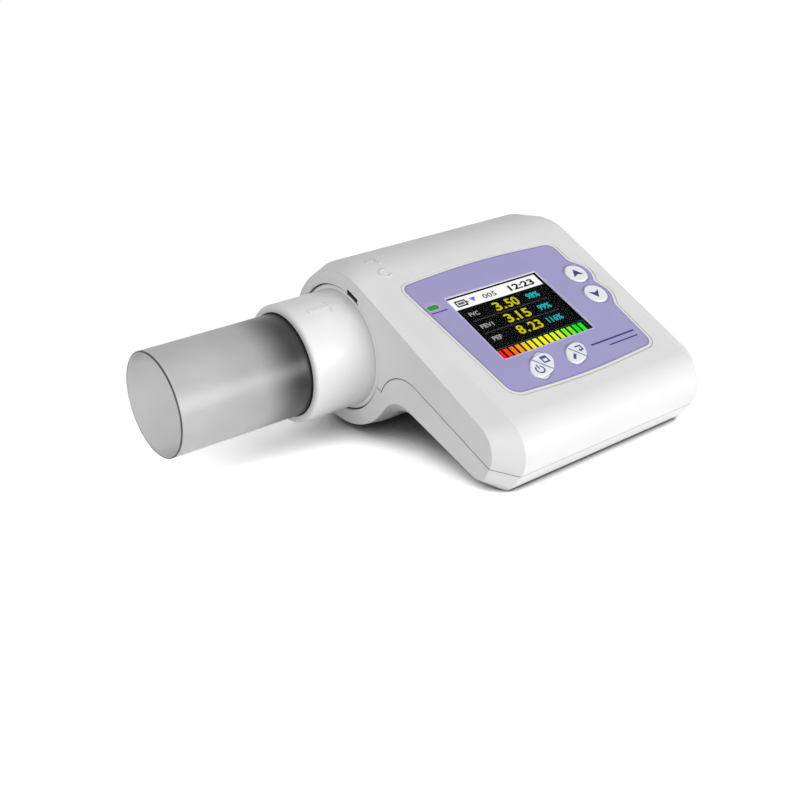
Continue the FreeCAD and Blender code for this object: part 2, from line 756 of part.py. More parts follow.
def keys():
    """Each key is a cap with a rim below the ceiling and a stem, on the plunger of its switch"""
    switches = new_body("switch_bodies")
    plunger_low = f"{KEY_STEM_BACK} - plunger_length"
    for key in KEYS:
        label, x, y = key[:3]
        cap = new_body(label)
        sk = sketch(cap, "XY_Plane", KEY_RIM_TOP)
        key_shape(sk, key, "0")
        body = extrude(cap, sk, f"head_radius + key_proud - {KEY_RIM_TOP}")
        top = number("head_radius + key_proud")
        break_edges(cap, body, "Chamfer", "key_chamfer", lambda edge: edge.BoundBox.ZMin > top - 0.001)
        sk = sketch(cap, "XY_Plane", KEY_RIM_BACK)
        key_shape(sk, key, "key_rim")
        extrude(cap, sk, "key_rim_thick")
        disc(cap, x, y, KEY_STEM_BACK, "key_stem_radius", "key_stem")
        plunger = new_body(label.replace("key", "plunger"))
        disc(plunger, x, y, plunger_low, "plunger_radius", "plunger_length")
        box(switches, f"{x} - switch_side / 2", f"{y} - switch_side / 2", BOARD_TOP,
            "switch_side", "switch_side", "switch_height")
    for key in KEYS:
        disc(switches, *key[1:3], f"{BOARD_TOP} + switch_height", "plunger_radius + plunger_gap",
             "switch_well", "Pocket", False)


def board():
    body = new_body("main_board")
    sk = sketch(body, "XY_Plane", BOARD_BACK)
    right = "case_width - board_inset"
    step = f"{right} - board_step"
    polygon(sk, [
        ("board_left", "-board_nose_side"), (step, "-board_nose_side"), (step, "-board_step_side"),
        (right, "-board_step_side"), (right, "-board_head_side"), ("board_left", "-board_head_side"),
    ])
    extrude(body, sk, "board_thick")
    for x, y in BOARD_SCREWS:
        disc(body, x, y, BOARD_BACK, "board_screw_radius + screw_gap", "board_thick", "Pocket")

    chips = new_body("board_chips")
    for x, y, long, wide, thick in CHIPS:
        box(chips, f"{x} - {long} / 2", f"{y} - {wide} / 2", f"{BOARD_BACK} - {thick}", long, wide, thick)

    light = new_body("status_led")
    box(light, "led_x - led_side / 2", "-led_y - led_side / 2", BOARD_TOP, "led_side", "led_side",
        "led_height")
    pipe = new_body("light_pipe")
    pipe_low = f"{BOARD_TOP} + led_height + led_gap"
    sk = sketch(pipe, "XY_Plane", pipe_low)
    belt(sk, light_outline("0"))
    extrude(pipe, sk, f"{FILM_SEAT} + film_thick - ({pipe_low})")

    sounder = new_body("buzzer")
    disc(sounder, "buzzer_x", "-buzzer_y", f"{BOARD_BACK} - buzzer_height", "buzzer_radius", "buzzer_height")
    disc(sounder, "buzzer_x", "-buzzer_y", f"{BOARD_BACK} - buzzer_height", "buzzer_radius / 5",
         "buzzer_height / 3", "Pocket")

    screws = new_body("board_screws")
    for x, y in BOARD_SCREWS:
        disc(screws, x, y, BOARD_BACK, "board_screw_radius", "board_screw_length")
    for x, y in BOARD_SCREWS:
        disc(screws, x, y, f"{BOARD_BACK} - board_screw_radius", "2 * board_screw_radius",
             "board_screw_radius")


def port():
    """The charging socket: a sheet metal shell round a tongue, open at the right face"""
    body = new_body("usb_socket")
    back = "case_width - port_sheet - port_deep"
    near = "-port_y - port_wide / 2"
    box(body, back, near, BOARD_TOP, "port_deep", "port_wide", "port_high")
    sk = sketch(body, "YZ_Plane", f"{back} + 2 * port_sheet")
    rectangle(sk, f"{near} + port_sheet", f"{BOARD_TOP} + port_sheet",
              "port_wide / 2 - port_y - port_sheet", f"{BOARD_TOP} + port_high - port_sheet")
    extrude(body, sk, "port_deep", "Pocket")
    box(body, f"{back} + port_sheet", f"{near} + port_wide / 4", f"{BOARD_TOP} + port_high / 2 - port_sheet",
        "port_deep - 4 * port_sheet", "port_wide / 2", "2 * port_sheet")


def battery():
    near = "-battery_near - battery_wide"
    cell = new_body("battery")
    block = box(cell, BATTERY_LEFT, near, "battery_lift", "battery_long", "battery_wide", "battery_thick")
    lie = number("battery_thick") / 3
    break_edges(cell, block, "Fillet", "battery_thick / 3", lambda edge: edge.BoundBox.ZLength > lie)
    pad = new_body("battery_pad")
    box(pad, f"{BATTERY_LEFT} + cradle_thick", f"{near} + cradle_thick", "battery_lift - pad_thick",
        "battery_long - 2 * cradle_thick", "battery_wide - 2 * cradle_thick", "pad_thick")
    plug = new_body("battery_connector")
    box(plug, f"{BATTERY_LEFT} + battery_long - plug_side", "-battery_near - plug_side",
        f"{BOARD_BACK} - plug_side / 2", "plug_side", "plug_side", "plug_side / 2")


def case_screws():
    body = new_body("case_screws")
    for x, y in CASE_SCREWS:
        disc(body, x, y, "screw_seat", "screw_radius", "screw_length")
    for x, y in CASE_SCREWS:
        disc(body, x, y, "screw_seat - screw_head", "screw_head_radius", "screw_head")
    for x, y in CASE_SCREWS:
        disc(body, x, y, "screw_seat - screw_head", "screw_radius", "screw_head / 2", "Pocket")


def turbine():
    cup = "mouth_radius + cup_gap"
    hold = "tube_radius + seat_gap"
    collar = new_body("turbine_collar")
    bevel = "collar_rim / 3"
    turned = revolve(collar, [
        (f"{bevel} - collar_front", cup), ("-collar_front", f"{cup} + {bevel}"),
        ("-collar_front", "collar_radius"), ("skirt_recess", "collar_radius"),
        ("skirt_recess", f"skirt_radius - {bevel}"), (f"skirt_recess + {bevel}", "skirt_radius"),
        ("skirt_back", "skirt_radius"), ("skirt_back", hold), ("-collar_seat", hold), ("-collar_seat", cup),
    ])
    rim_place = number("-collar_front")
    rim_radius = number("collar_radius")

    def outer_rim(edge):
        bounds = edge.BoundBox
        return abs(bounds.XMin - rim_place) < 0.01 and abs(bounds.ZMax - rim_radius) < 0.01

    break_edges(collar, turned, "Fillet", "collar_rim", outer_rim)
    for angle in (90, 270):
        sk = sketch(collar, "YZ_Plane", "skirt_back - lug_thick", angle + number("lock_angle"))
        rectangle(sk, "skirt_radius - lug_thick", "-lug_wide / 2",
                  "skirt_radius + lug_height", "lug_wide / 2")
        extrude(collar, sk, "lug_thick")

    tube = new_body("turbine_tube")
    outlet = f"{TUBE_BORE} + outlet_step"
    revolve(tube, [("-collar_seat", TUBE_BORE), ("-collar_seat", "tube_radius"), (TUBE_END, "tube_radius"),
                   (TUBE_END, outlet), (OUTLET_FRONT, outlet), (OUTLET_FRONT, TUBE_BORE)])

    sleeve = new_body("turbine_socket")
    revolve(sleeve, [(SLEEVE_FRONT, SLEEVE_BORE), (SLEEVE_FRONT, SLEEVE_RADIUS), (SLEEVE_END, SLEEVE_RADIUS),
                     (SLEEVE_END, SLEEVE_BORE)])
    for forward in (True, False):
        for rise in ("barrier_rise", "-barrier_rise"):
            sk = sketch(sleeve, "XZ_Plane")
            circle(sk, "rotor_middle", rise, "eye_radius + eye_gap")
            extrude(sleeve, sk, "head_radius", "Pocket", forward)

    mouth = new_body("mouthpiece")
    end = "-collar_seat - mouth_gap"
    bore = "mouth_radius - mouth_wall"
    bevel = "mouth_wall / 4"
    revolve(mouth, [(f"{bevel} - mouth_front", bore), ("-mouth_front", f"{bore} + {bevel}"),
                    ("-mouth_front", f"mouth_radius - {bevel}"), (f"{bevel} - mouth_front", "mouth_radius"),
                    (end, "mouth_radius"), (end, bore)])


def swirler(label, front, rotor_side, twist):
    """Ring, hub and helical blades. rotor_side is 1 where the rotor lies past the back end."""
    back = f"{front} + swirler_long"
    ring = f"{TUBE_BORE} - seat_gap"
    seat = "bearing_radius + seat_gap"
    body = new_body(label)
    revolve(body, [(front, f"{ring} - swirler_ring"), (front, ring), (back, ring),
                   (back, f"{ring} - swirler_ring")])
    if rotor_side > 0:
        hub = [(front, "0"), (front, "swirler_hub / 3"), (f"{front} + swirler_hub", "swirler_hub"),
               (back, "swirler_hub"), (back, seat), (f"{back} - bearing_long", seat),
               (f"{back} - bearing_long", "0")]
    else:
        hub = [(f"{front} + bearing_long", "0"), (f"{front} + bearing_long", seat), (front, seat),
               (front, "swirler_hub"), (f"{back} - swirler_hub", "swirler_hub"),
               (back, "swirler_hub / 3"), (back, "0")]
    revolve(body, hub)
    steps = 4
    sections = []
    for i in range(steps + 1):
        place = f"{front} + swirler_blade + {i} * (swirler_long - 2 * swirler_blade) / {steps}"
        sk = sketch(body, "YZ_Plane", place, twist * number("swirler_twist") * i / steps)
        rectangle(sk, "swirler_hub - swirler_blade", "-swirler_blade / 2",
                  f"{ring} - swirler_ring / 2", "swirler_blade / 2")
        sections.append(sk)
    before = volume_of(body)
    blade = body.newObject("PartDesign::AdditiveLoft", f"{label}_blade")
    blade.Profile = sections[0]
    blade.Sections = sections[1:]
    blade.Ruled = True
    settle(body, blade, before, False)
    around = body.newObject("PartDesign::PolarPattern", f"{label}_blades")
    around.Originals = [blade]
    around.Axis = (next(item for item in body.Origin.OriginFeatures if item.Role == "X_Axis"), [""])
    around.Angle = 360
    around.setExpression("Occurrences", cells("swirler_count"))
    settle(body, around, volume_of(body), False)


def bearing(label, front):
    body = new_body(label)
    bore = "axle_radius + axle_gap"
    back = f"{front} + bearing_long"
    revolve(body, [(front, bore), (front, "bearing_radius"), (back, "bearing_radius"), (back, bore)])


def rotor():
    """The flat vane on its axle between the two swirlers, with a bearing in each hub"""
    swirler("inlet_swirler", INLET_SWIRLER, 1, 1)
    swirler("outlet_swirler", OUTLET_SWIRLER, -1, -1)
    bearing("front_bearing", f"{INLET_SWIRLER} + swirler_long - bearing_long")
    bearing("rear_bearing", OUTLET_SWIRLER)

    vane = new_body("rotor_vane")
    revolve(vane, [(f"rotor_middle - {HUB_HALF}", "0"), (f"rotor_middle - {HUB_HALF}", "rotor_hub_radius"),
                   (f"rotor_middle + {HUB_HALF}", "rotor_hub_radius"), (f"rotor_middle + {HUB_HALF}", "0")])
    sk = sketch(vane, "XY_Plane", "-vane_thick / 2")
    rectangle(sk, "rotor_middle - vane_long / 2", "-vane_radius", "rotor_middle + vane_long / 2",
              "vane_radius")
    extrude(vane, sk, "vane_thick")
    sk = sketch(vane, "YZ_Plane", f"rotor_middle - {HUB_HALF}")
    circle(sk, "0", "0", "axle_radius + seat_gap")
    extrude(vane, sk, "rotor_hub_long", "Pocket")

    axle = new_body("rotor_axle")
    front = "rotor_middle - axle_long / 2"
    back = "rotor_middle + axle_long / 2"
    revolve(axle, [(front, "0"), (f"{front} + axle_radius", "axle_radius"),
                   (f"{back} - axle_radius", "axle_radius"), (back, "0")])


def light_barriers():
    """Two small boards, one each side of the sleeve, whose lamps and eyes look through its holes"""
    for side, board_label, eye_label in ((-1, "emitter_board", "ir_emitters"),
                                         (1, "receiver_board", "ir_receivers")):
        plate = new_body(board_label)
        near = "sensor_board_near" if side > 0 else "-sensor_board_near - sensor_board_thick"
        box(plate, "rotor_middle - sensor_board_long / 2", near, "-sensor_board_high / 2",
            "sensor_board_long", "sensor_board_thick", "sensor_board_high")
        eyes = new_body(eye_label)
        for rise in ("barrier_rise", "-barrier_rise"):
            sk = sketch(eyes, "XZ_Plane", f"{-side} * eye_reach")
            circle(sk, "rotor_middle", rise, "eye_radius")
            extrude(eyes, sk, "sensor_board_near - eye_reach", forward=side < 0)


def resting_place():
    """Stand the housing on the round of its head and of its chin, and put the origin below the
    middle of the whole object, mouthpiece included"""
    head = number(TOP)
    chin_y = number(CHIN_Y)
    chin_z = number(CHIN_Z)
    spread = math.hypot(chin_y, chin_z)
    tilt = math.atan(chin_z / -chin_y) + math.asin((head - number("chin_radius")) / spread)
    nose_y = number("-nose_reach") * math.cos(tilt) - number(NOSE_Z) * math.sin(tilt)
    middle_x = (number("case_width") - number("mouth_front")) / 2
    middle_y = (head + nose_y - number("nose_radius")) / 2
    turn = FreeCAD.Rotation(Vector(1, 0, 0), math.degrees(tilt))
    print(f"tilt {math.degrees(tilt):.3f} degrees, airway axis at Y {-middle_y:.3f}, Z {head:.3f}, "
          f"head face at X {-middle_x:.3f}")
    return FreeCAD.Placement(Vector(-middle_x, -middle_y, head), turn)


label_overlay()
display()
keys()
board()
port()
battery()
case_screws()
turbine()
rotor()
light_barriers()

rest = resting_place()
for piece in pieces:
    piece.Placement = rest
doc.recompute()

for item in doc.Objects:
    if "Invalid" in item.State or "Error" in item.State:
        raise RuntimeError(f"{item.Label} failed: {item.State}")
for piece in pieces:
    if piece.Shape.isNull() or not piece.Shape.isValid():
        raise RuntimeError(f"{piece.Label} has no valid shape")
for piece in pieces:
    piece.Shape.exportStep(f"parts/{piece.Label}.step")
print(f"{len(pieces)} pieces")
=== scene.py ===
import json
import math
import bmesh
import bpy
from mathutils import Matrix, Vector


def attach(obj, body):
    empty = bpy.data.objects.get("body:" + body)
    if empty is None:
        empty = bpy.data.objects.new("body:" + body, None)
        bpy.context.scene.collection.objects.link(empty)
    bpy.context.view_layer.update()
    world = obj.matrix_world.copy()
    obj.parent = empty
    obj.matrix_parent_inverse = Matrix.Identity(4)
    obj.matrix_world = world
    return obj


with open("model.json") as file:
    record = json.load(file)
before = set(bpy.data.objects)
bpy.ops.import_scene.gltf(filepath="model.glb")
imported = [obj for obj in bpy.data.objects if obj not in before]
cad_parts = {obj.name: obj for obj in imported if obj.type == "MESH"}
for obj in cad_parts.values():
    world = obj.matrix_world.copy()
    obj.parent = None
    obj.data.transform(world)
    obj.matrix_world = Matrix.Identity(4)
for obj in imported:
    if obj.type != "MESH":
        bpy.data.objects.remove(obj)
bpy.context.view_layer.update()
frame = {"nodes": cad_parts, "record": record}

# Pieces are drawn in millimetres in the keypad's own directions: X along the airway, Y up the keypad
# towards the head, Z square to the keypad, from the point where the airway's axis meets the head's
# left face. KEYPAD brings a mesh from there to its place on the standing object, in metres.
MM = 0.001
joints = {joint["name"]: joint for joint in frame["record"]["behaviour"]["joints"]}
press = Vector(joints["up_press"]["axis"])
tilt = math.atan2(press.y, -press.z)
airway = Vector(joints["turbine_lock"]["pos_m"])
outwards = Vector((0, -math.sin(tilt), math.cos(tilt)))
headwards = Vector((0, math.cos(tilt), math.sin(tilt)))
STAND = Matrix.Translation(airway) @ Matrix.Rotation(tilt, 4, "X")
KEYPAD = STAND @ Matrix.Scale(MM, 4)

# Heights above the airway's axis. The painted crevice shade stops at the second of them, where it would
# ring the film.
FILM_TOP = 24.75
CREVICE_SHADE_TOP = 23.9
LCD_TOP = 23.65
KEY_TOP = 25.2
# Radii round the airway's axis, the rise of the marks on them, and the thickness of a layer of ink
HEAD_RADIUS = 24.8
COLLAR_RADIUS = 17.45
EMBOSS = 0.14
INK = 0.03


def camera():
    """The photograph's camera, with its place and directions in the keypad's frame"""
    lens = bpy.data.cameras.new("photo_camera")
    lens.sensor_width = 36
    lens.lens = 54.1
    lens.clip_start = 0.01
    eye = bpy.data.objects.new("photo_camera", lens)
    bpy.context.scene.collection.objects.link(eye)
    right = Vector((0.77854, -0.58393, 0.23001))
    up = Vector((0.27872, 0.65007, 0.70692))
    turn = Matrix((right, up, right.cross(up))).transposed().to_4x4()
    place = Vector((-188.81, -192.38, 229.41)) * MM
    eye.matrix_world = STAND @ Matrix.Translation(place) @ turn
    bpy.context.scene.camera = eye


# Materials

def linear(code):
    """An sRGB hex colour as linear red, green, blue and alpha"""
    parts = [int(code[i:i + 2], 16) / 255 for i in (1, 3, 5)]
    return [c / 12.92 if c <= 0.04045 else ((c + 0.055) / 1.055) ** 2.4 for c in parts] + [1.0]


def add(tree, kind, inputs, **settings):
    """Add a node, give it its settings, and set or link its inputs"""
    made = tree.nodes.new(kind)
    for name, value in settings.items():
        setattr(made, name, value)
    for name, value in inputs.items():
        if isinstance(value, bpy.types.NodeSocket):
            tree.links.new(value, made.inputs[name])
        else:
            made.inputs[name].default_value = value
    return made


def finish(name, **sockets):
    """A material with one Principled shader, its sockets given by their names with _ for a space"""
    made = bpy.data.materials.new(name)
    made.use_nodes = True
    tree = made.node_tree
    tree.nodes.clear()
    shader = add(tree, "ShaderNodeBsdfPrincipled",
                 {key.replace("_", " "): value for key, value in sockets.items()})
    add(tree, "ShaderNodeOutputMaterial", {"Surface": shader.outputs[0]})
    return made, tree, shader


def cloud(tree, size_mm, detail=3.0):
    """Noise of that size in the object's own coordinates"""
    there = add(tree, "ShaderNodeTexCoord", {}).outputs["Object"]
    return add(tree, "ShaderNodeTexNoise",
               {"Vector": there, "Scale": 1 / (size_mm * MM), "Detail": detail}).outputs["Fac"]


def from_airway(tree):
    """The place from the middle of the head's left face, in millimetres, in the frame's directions"""
    there = add(tree, "ShaderNodeTexCoord", {}).outputs["Object"]
    moved = add(tree, "ShaderNodeVectorMath", {0: there, 1: airway}, operation="SUBTRACT").outputs[0]
    return add(tree, "ShaderNodeVectorMath", {0: moved, "Scale": 1 / MM}, operation="SCALE").outputs[0]


def moulded(name, light, dark, rough, grain_mm, depth, crevice_mm=0.0, edge_mm=0.0, **sockets):
    """Two close shades, a slow change of gloss and a fine grain. Crevices narrower than crevice_mm
    are darkened as painted shade, up to a height under the film, and edges look rounded by edge_mm."""
    shade_mm, gloss_mm, gloss_step = 14.0, 9.0, 0.04
    noise_low, noise_high = 0.3, 0.7
    closed, open_enough, darkest_crevice = 0.25, 0.7, 0.3
    made, tree, shader = finish(name, **sockets)
    tint = add(tree, "ShaderNodeValToRGB", {"Fac": cloud(tree, shade_mm)})
    for stop, position, code in zip(tint.color_ramp.elements, (noise_low, noise_high), (dark, light)):
        stop.position = position
        stop.color = linear(code)
    colour = tint.outputs["Color"]
    # Painted shade: the colour is darkened in crevices by how little open sky they see
    if crevice_mm:
        open_sky = add(tree, "ShaderNodeAmbientOcclusion", {"Distance": crevice_mm * MM}, samples=8)
        painted_crevice_shade = add(tree, "ShaderNodeMapRange",
                   {"Value": open_sky.outputs["AO"], "From Min": closed, "From Max": open_enough,
                    "To Min": darkest_crevice, "To Max": 1.0})
        height = add(tree, "ShaderNodeVectorMath", {0: from_airway(tree), 1: outwards},
                     operation="DOT_PRODUCT")
        above = add(tree, "ShaderNodeMath", {0: height.outputs["Value"], 1: CREVICE_SHADE_TOP},
                    operation="GREATER_THAN")
        crevice_shade_factor = add(tree, "ShaderNodeMath", {0: painted_crevice_shade.outputs["Result"], 1: above.outputs[0]},
                    operation="MAXIMUM")
        colour = add(tree, "ShaderNodeVectorMath", {0: colour, "Scale": crevice_shade_factor.outputs[0]},
                     operation="SCALE").outputs[0]
    tree.links.new(colour, shader.inputs["Base Color"])
    gloss = add(tree, "ShaderNodeMapRange",
                {"Value": cloud(tree, gloss_mm), "From Min": noise_low, "From Max": noise_high,
                 "To Min": rough - gloss_step, "To Max": rough + gloss_step})
    tree.links.new(gloss.outputs["Result"], shader.inputs["Roughness"])
    bump = add(tree, "ShaderNodeBump", {"Height": cloud(tree, grain_mm, 2.0), "Strength": depth,
                                        "Distance": 0.1 * grain_mm * MM})
    if edge_mm:
        soft = add(tree, "ShaderNodeBevel", {"Radius": edge_mm * MM}, samples=6)
        tree.links.new(soft.outputs["Normal"], bump.inputs["Normal"])
    tree.links.new(bump.outputs["Normal"], shader.inputs["Normal"])
    return made


def zone(tree, along, away, across):
    """1 between two places along the airway, two radii round it and two heights up the keypad, in
    millimetres, else 0"""
    place = from_airway(tree)
    axial = add(tree, "ShaderNodeSeparateXYZ", {"Vector": place}).outputs["X"]
    section = add(tree, "ShaderNodeVectorMath", {0: place, 1: (0, 1, 1)}, operation="MULTIPLY")
    radial = add(tree, "ShaderNodeVectorMath", {0: section.outputs[0]}, operation="LENGTH")
    upward = add(tree, "ShaderNodeVectorMath", {0: place, 1: headwards}, operation="DOT_PRODUCT")
    inside = [
        add(tree, "ShaderNodeMath", {0: value, 1: (low + high) / 2, 2: (high - low) / 2},
            operation="COMPARE")
        for value, (low, high) in ((axial, along), (radial.outputs["Value"], away),
                                   (upward.outputs["Value"], across))
    ]
    both = add(tree, "ShaderNodeMath", {0: inside[0].outputs[0], 1: inside[1].outputs[0]},
               operation="MULTIPLY")
    return add(tree, "ShaderNodeMath", {0: both.outputs[0], 1: inside[2].outputs[0]},
               operation="MULTIPLY").outputs[0]


def base_colour(tree):
    """The input of a material's shader that takes its colour"""
    return next(node for node in tree.nodes if node.type == "BSDF_PRINCIPLED").inputs["Base Color"]


def paint_shade_zone(material, code, along, away, across=(-40.0, 40.0)):
    """Paint a material another colour in a zone round the airway; each zone here is painted shade. It
    rides with the piece, like all that reads Object coordinates."""
    tree = material.node_tree
    base = base_colour(tree)
    factor, first, second, result = 0, 6, 7, 2
    mixed = add(tree, "ShaderNodeMix", {factor: zone(tree, along, away, across),
                                        first: base.links[0].from_socket, second: linear(code)},
                data_type="RGBA")
    tree.links.new(mixed.outputs[result], base)


def shade_along(material, begin, end, least):
    """Darken a material smoothly along the airway, from all of its colour to the least part of it"""
    tree = material.node_tree
    base = base_colour(tree)
    along = add(tree, "ShaderNodeSeparateXYZ", {"Vector": from_airway(tree)}).outputs["X"]
    part = add(tree, "ShaderNodeMapRange", {"Value": along, "From Min": begin, "From Max": end,
                                            "To Min": 1.0, "To Max": least},
               interpolation_type="SMOOTHSTEP")
    shaded = add(tree, "ShaderNodeVectorMath",
                 {0: base.links[0].from_socket, "Scale": part.outputs["Result"]}, operation="SCALE")
    tree.links.new(shaded.outputs[0], base)


# Both bayonet notches, at the top and the bottom of the ring, reach this far to either side
NOTCH = (-2.75, 2.75)

# ABS moulded in a spark-eroded tool: an even matt skin with softly rounded edges. The real grain is
# about 0.1 mm, too fine to show, so it is drawn at 0.35 mm. Its crevices carry painted shade. The
# walls of both notches are painted dark as painted shade, because they are only 1 mm deep and the
# photograph shows the upper one black. The painted zone also crosses the inside of the head.
case_abs = moulded("spark_eroded_abs", "#F0F0F0", "#ECECEC", 0.44, 0.35, 0.12, 0.9, 0.45, IOR=1.53)
paint_shade_zone(case_abs, "#0C0C0C", along=(0.25, 81.75), away=(0.0, 20.75), across=NOTCH)
# ABS from a stoned tool: brighter and smoother than the housing. Its crevices carry painted shade.
# Its bore and the two patches of its skirt that show in the notches are painted dark as painted shade,
# after the photograph. The patches turn with it.
collar_abs = moulded("satin_abs", "#F7F7F7", "#F3F3F3", 0.34, 0.5, 0.05, 0.9, 0.3, IOR=1.53)
paint_shade_zone(collar_abs, "#101010", along=(-19.5, 10.0), away=(0.0, 15.3))
paint_shade_zone(collar_abs, "#0A0A0A", along=(-0.1, 10.0), away=(18.4, 22.0), across=NOTCH)
# Keys moulded in a polished tool: white, with clear highlights
key_abs = moulded("polished_abs", "#FDFDFF", "#F8F8FC", 0.2, 0.6, 0.03, 0.5, IOR=1.53)
# Polycarbonate film with a fine velvet skin. The print is drawn as thin layers on top of it.
film = moulded("velvet_polycarbonate_film", "#F4F4EC", "#F0F0E7", 0.36, 0.3, 0.06, IOR=1.58)
# Screen ink on the film, and pad ink on the keys and for the film's three rules: thin even coats with
# a dull skin
violet_ink = moulded("violet_screen_ink", "#AAA5D6", "#A5A0D1", 0.36, 0.3, 0.06, IOR=1.5)
edge_ink = moulded("deep_violet_screen_ink", "#938CC8", "#8E87C3", 0.36, 0.3, 0.06, IOR=1.5)
pale_violet_ink = moulded("pale_violet_screen_ink", "#C8C4F4", "#C2BEEF", 0.36, 0.3, 0.06, IOR=1.5)
rose_ink = moulded("rose_violet_screen_ink", "#BDA4DC", "#B79ED6", 0.36, 0.3, 0.06, IOR=1.5)
navy_ink = moulded("navy_pad_ink", "#0E1E80", "#0A186E", 0.4, 0.4, 0.04, IOR=1.5)
slate_ink = moulded("slate_blue_pad_ink", "#34489A", "#2D408F", 0.4, 0.4, 0.04, IOR=1.5)
pale_ink = moulded("pale_blue_pad_ink", "#7F92C4", "#778ABC", 0.4, 0.4, 0.04, IOR=1.5)
# Clear acrylic. Its IOR is set far below the real 1.49, as if it were coated against glare, because
# the photograph's display is dark and has no haze.
acrylic = moulded("coated_acrylic", "#FFFFFF", "#FCFCFC", 0.05, 1.0, 0.004, IOR=1.08,
                  Transmission_Weight=1.0)
# Glass of the display with its dark polariser. Its IOR is set low for the same reason.
lcd_glass = moulded("polariser_glass", "#030303", "#020202", 0.3, 1.0, 0.01, IOR=1.08)
# Green epoxy of the light and the piece that leads it out, with a faint glow
led_epoxy = moulded("green_epoxy", "#0C9022", "#087818", 0.25, 0.6, 0.03, IOR=1.4,
                    Emission_Color=linear("#0FA028"), Emission_Strength=0.12)
# Frosted polypropylene tube: cloudy, with light passing through and no clear view. The dark line at
# its outer end and the dark end at the collar are painted shade, after the photograph, and both stay
# when the tube is pulled out.
frosted = moulded("frosted_polypropylene", "#E8E8E8", "#E0E0E1", 0.36, 0.6, 0.0, IOR=1.49,
                  Transmission_Weight=0.6)
paint_shade_zone(frosted, "#2E2E30", along=(-62.0, -60.55), away=(14.55, 16.0))
shade_along(frosted, begin=-36.0, end=-23.0, least=0.05)
# Smoked polycarbonate of the turbine's tube
smoked = moulded("smoked_polycarbonate", "#3A3B3D", "#303133", 0.16, 0.8, 0.02, IOR=1.58,
                 Transmission_Weight=0.35)
# Matt black nylon of the inner sleeve, plungers and vane
black_nylon = moulded("black_nylon", "#1C1C1E", "#141416", 0.5, 0.4, 0.1, IOR=1.53)
# Grey nylon of the swirlers, moulded thin
grey_nylon = moulded("grey_nylon", "#5A5C60", "#505256", 0.45, 0.4, 0.08, 0.8, IOR=1.53)
# Moulded epoxy of the chips, the sensors and the buzzer
chip_epoxy = moulded("moulded_epoxy", "#19191B", "#121214", 0.55, 0.3, 0.15, IOR=1.55)
# Solder mask over glass-fibre board: glossy green and slightly uneven
solder_mask = moulded("solder_mask", "#0F5C33", "#0B4A29", 0.3, 0.6, 0.08, IOR=1.52)
# Polyimide film over copper
polyimide = moulded("polyimide_film", "#C8791E", "#B06A18", 0.3, 1.0, 0.02, IOR=1.6)
# Closed-cell foam
foam = moulded("closed_cell_foam", "#3C3C3E", "#2E2E30", 0.8, 0.5, 0.5, IOR=1.45)
# Aluminium laminate of the cell's pouch
pouch = moulded("aluminium_laminate", "#B9BCC2", "#AEB1B7", 0.32, 2.0, 0.12, Metallic=0.8)
# Grey ABS of the display's carrier
grey_abs = moulded("grey_abs", "#66686C", "#5C5E62", 0.45, 0.4, 0.1, IOR=1.53)
# Tinned steel, also on the axle, zinc-plated screws and turned brass
tinned = moulded("tinned_steel", "#C9CACC", "#BFC0C3", 0.28, 0.5, 0.05, Metallic=1.0)
zinc = moulded("zinc_plated_steel", "#C4C6CA", "#B8BABF", 0.26, 0.4, 0.06, Metallic=1.0)
brass = moulded("turned_brass", "#D6B25A", "#C9A34C", 0.25, 0.3, 0.05, Metallic=1.0)

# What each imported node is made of
NODE_MATERIALS = {
    "upper_case": case_abs, "lower_case": case_abs, "label_overlay": film,
    "display_window": acrylic, "lcd_panel": lcd_glass, "lcd_backlight": key_abs,
    "display_carrier": grey_abs, "display_flex": polyimide, "main_board": solder_mask,
    "board_chips": chip_epoxy, "board_screws": zinc, "case_screws": zinc, "switch_bodies": tinned,
    "status_led": led_epoxy, "light_pipe": led_epoxy, "buzzer": chip_epoxy, "usb_socket": tinned,
    "battery": pouch, "battery_pad": foam, "battery_connector": key_abs,
    "turbine_socket": black_nylon, "emitter_board": solder_mask, "ir_emitters": chip_epoxy,
    "receiver_board": solder_mask, "ir_receivers": chip_epoxy, "turbine_collar": collar_abs,
    "turbine_tube": smoked, "inlet_swirler": grey_nylon, "outlet_swirler": grey_nylon,
    "front_bearing": brass, "rear_bearing": brass, "rotor_vane": black_nylon,
    "rotor_axle": tinned, "mouthpiece": frosted,
}
for key in ("power", "menu", "up", "down"):
    NODE_MATERIALS[f"{key}_key"] = key_abs
    NODE_MATERIALS[f"{key}_plunger"] = black_nylon
for name, finish_of_node in NODE_MATERIALS.items():
    mesh = frame["nodes"][name].data
    mesh.materials.clear()
    mesh.materials.append(finish_of_node)


# Making pieces

def keep(name, bm, material, body, matrix=KEYPAD):
    """Turn a bmesh into a piece that rides on a body, with its place in its mesh"""
    mesh = bpy.data.meshes.new(name)
    bmesh.ops.transform(bm, matrix=matrix, verts=bm.verts)
    bmesh.ops.recalc_face_normals(bm, faces=bm.faces)
    bm.to_mesh(mesh)
    bm.free()
    mesh.materials.append(material)
    piece = bpy.data.objects.new(name, mesh)
    bpy.context.scene.collection.objects.link(piece)
    if body:
        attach(piece, body)
    return piece


def rounded(corners, radius):
    """An outline of straight lines with its corners rounded"""
    bm = bmesh.new()
    face = bm.faces.new([bm.verts.new((x, y, 0)) for x, y in corners])
    bmesh.ops.bevel(bm, geom=list(face.verts), offset=radius, affect="VERTICES", segments=5,
                    profile=0.5, material=-1)
    bm.faces.ensure_lookup_table()
    outline = [(vert.co.x, vert.co.y) for vert in bm.faces[0].verts]
    bm.free()
    return outline


